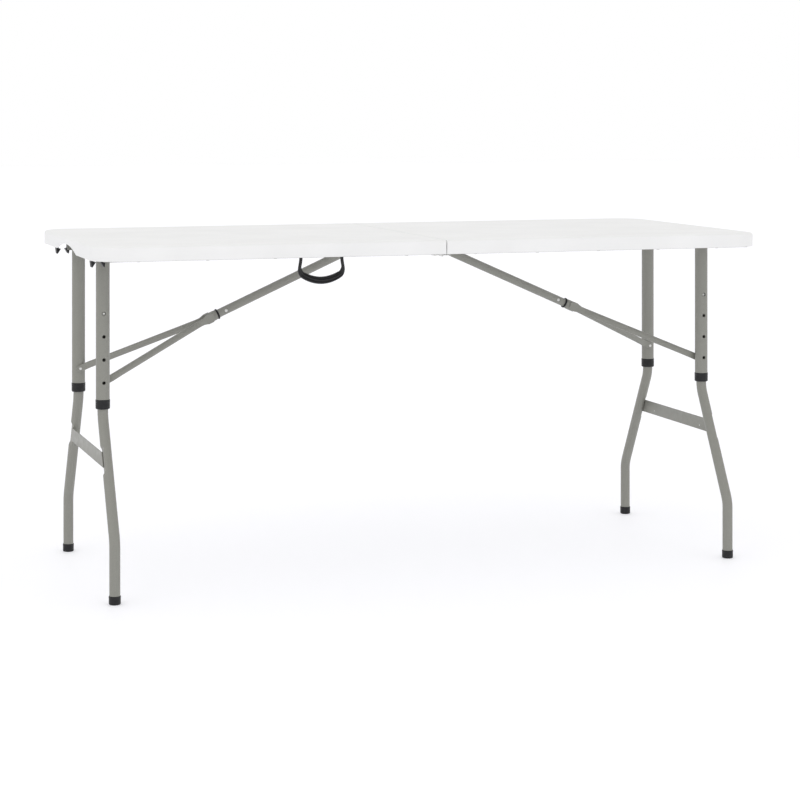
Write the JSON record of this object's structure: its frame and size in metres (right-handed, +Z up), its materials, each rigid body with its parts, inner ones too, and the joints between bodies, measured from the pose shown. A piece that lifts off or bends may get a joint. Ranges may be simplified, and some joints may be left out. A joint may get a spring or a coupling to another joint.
{
  "type": "folding table",
  "caption": "Rectangular bi-fold table with a moulded plastic top, steel trestle legs that telescope and fold, sliding braces and a carry handle.",
  "frame": {"origin": "on the floor under the middle of the table, where the seam crosses the centre line", "axes": "+X along the length towards the half without the handle, +Y towards the rear, away from the side with the handle, +Z up"},
  "size_m": [1.52, 0.69, 0.743],
  "materials": {
    "white_plastic": "fine satin, slightly speckled moulded plastic",
    "grey_paint": "satin powder coat",
    "black_plastic": "satin moulded plastic",
    "zinc_plate": "bright zinc plate"
  },
  "bodies": {
    "left_half": {"left_top_half": "white_plastic", "left_front_rail": "grey_paint", "left_front_hinge_leaf": "zinc_plate", "left_front_pivot_bracket": "grey_paint", "left_rear_rail": "grey_paint", "left_rear_hinge_leaf": "zinc_plate", "left_rear_pivot_bracket": "grey_paint", "left_stem_bracket": "grey_paint", "front_hinge_pin": "zinc_plate", "front_latch": "black_plastic", "rear_hinge_pin": "zinc_plate", "rear_latch": "black_plastic", "handle_anchor": "black_plastic", "handle_pin": "zinc_plate"},
    "right_half": {"right_top_half": "white_plastic", "right_front_rail": "grey_paint", "right_front_hinge_leaf": "zinc_plate", "right_front_pivot_bracket": "grey_paint", "right_rear_rail": "grey_paint", "right_rear_hinge_leaf": "zinc_plate", "right_rear_pivot_bracket": "grey_paint", "right_stem_bracket": "grey_paint"},
    "handle": {"handle": "black_plastic"},
    "left_leg": {"left_pivot_rod": "zinc_plate", "left_front_upper_tube": "grey_paint", "left_front_collar": "black_plastic", "left_rear_upper_tube": "grey_paint", "left_rear_collar": "black_plastic"},
    "left_lower_leg": {"left_crossbar": "grey_paint", "left_front_lower_tube": "grey_paint", "left_front_foot": "black_plastic", "left_rear_lower_tube": "grey_paint", "left_rear_foot": "black_plastic"},
    "left_brace": {"left_front_strut": "grey_paint", "left_rear_strut": "grey_paint", "left_brace_sleeve": "grey_paint"},
    "left_front_button": {"left_front_button": "zinc_plate"},
    "left_rear_button": {"left_rear_button": "zinc_plate"},
    "left_stem": {"left_stem": "grey_paint", "left_stem_pin": "zinc_plate"},
    "left_brace_button": {"left_brace_button": "zinc_plate"},
    "right_leg": {"right_pivot_rod": "zinc_plate", "right_front_upper_tube": "grey_paint", "right_front_collar": "black_plastic", "right_rear_upper_tube": "grey_paint", "right_rear_collar": "black_plastic"},
    "right_lower_leg": {"right_crossbar": "grey_paint", "right_front_lower_tube": "grey_paint", "right_front_foot": "black_plastic", "right_rear_lower_tube": "grey_paint", "right_rear_foot": "black_plastic"},
    "right_brace": {"right_front_strut": "grey_paint", "right_rear_strut": "grey_paint", "right_brace_sleeve": "grey_paint"},
    "right_front_button": {"right_front_button": "zinc_plate"},
    "right_rear_button": {"right_rear_button": "zinc_plate"},
    "right_stem": {"right_stem": "grey_paint", "right_stem_pin": "zinc_plate"},
    "right_brace_button": {"right_brace_button": "zinc_plate"}
  },
  "joints": [
    {"name": "table_fold", "type": "hinge", "parent": "left_half", "child": "right_half", "pos_m": [0, 0, 0.708], "axis": [0, 1, 0], "range_deg": [0, 85]},
    {"name": "handle_swing", "type": "hinge", "parent": "left_half", "child": "handle", "pos_m": [-0.277, -0.333, 0.716], "axis": [1, 0, 0], "range_deg": [-40, 50]},
    {"name": "left_leg_fold", "type": "hinge", "parent": "left_half", "child": "left_leg", "pos_m": [-0.7151, 0, 0.7106], "axis": [0, -1, 0], "range_deg": [0, 90]},
    {"name": "left_height", "type": "slide", "parent": "left_leg", "child": "left_lower_leg", "axis": [0, 0, 1], "range_m": [-0.147, 0]},
    {"name": "left_brace_fold", "type": "hinge", "parent": "left_leg", "child": "left_brace", "pos_m": [-0.7045, 0, 0.44], "axis": [0, -1, 0], "range_deg": [-113.17, 0]},
    {"name": "left_stem_slide", "type": "slide", "parent": "left_brace", "child": "left_stem", "axis": [-0.9147, 0, -0.4042], "range_m": [0, 0.32029]},
    {"name": "left_brace_button_press", "type": "slide", "parent": "left_stem", "child": "left_brace_button", "axis": [0, 1, 0], "range_m": [0, 0.002], "stiffness_N_per_m": 400},
    {"name": "left_front_button_press", "type": "slide", "parent": "left_lower_leg", "child": "left_front_button", "axis": [0, 1, 0], "range_m": [0, 0.002], "stiffness_N_per_m": 400},
    {"name": "left_rear_button_press", "type": "slide", "parent": "left_lower_leg", "child": "left_rear_button", "axis": [0, -1, 0], "range_m": [0, 0.002], "stiffness_N_per_m": 400},
    {"name": "right_leg_fold", "type": "hinge", "parent": "right_half", "child": "right_leg", "pos_m": [0.7151, 0, 0.7106], "axis": [0, 1, 0], "range_deg": [0, 90]},
    {"name": "right_height", "type": "slide", "parent": "right_leg", "child": "right_lower_leg", "axis": [0, 0, 1], "range_m": [-0.147, 0]},
    {"name": "right_brace_fold", "type": "hinge", "parent": "right_leg", "child": "right_brace", "pos_m": [0.7045, 0, 0.44], "axis": [0, 1, 0], "range_deg": [-113.17, 0]},
    {"name": "right_stem_slide", "type": "slide", "parent": "right_brace", "child": "right_stem", "axis": [0.9147, 0, -0.4042], "range_m": [0, 0.32029]},
    {"name": "right_brace_button_press", "type": "slide", "parent": "right_stem", "child": "right_brace_button", "axis": [0, 1, 0], "range_m": [0, 0.002], "stiffness_N_per_m": 400},
    {"name": "right_front_button_press", "type": "slide", "parent": "right_lower_leg", "child": "right_front_button", "axis": [0, 1, 0], "range_m": [0, 0.002], "stiffness_N_per_m": 400},
    {"name": "right_rear_button_press", "type": "slide", "parent": "right_lower_leg", "child": "right_rear_button", "axis": [0, -1, 0], "range_m": [0, 0.002], "stiffness_N_per_m": 400}
  ],
  "couplings": [
    {"joint": "left_brace_fold", "follows": "left_leg_fold", "ratio": -1.2575},
    {"joint": "left_stem_slide", "follows": "left_leg_fold", "m_per_rad": 0.2039},
    {"joint": "right_brace_fold", "follows": "right_leg_fold", "ratio": -1.2575},
    {"joint": "right_stem_slide", "follows": "right_leg_fold", "m_per_rad": 0.2039}
  ]
}
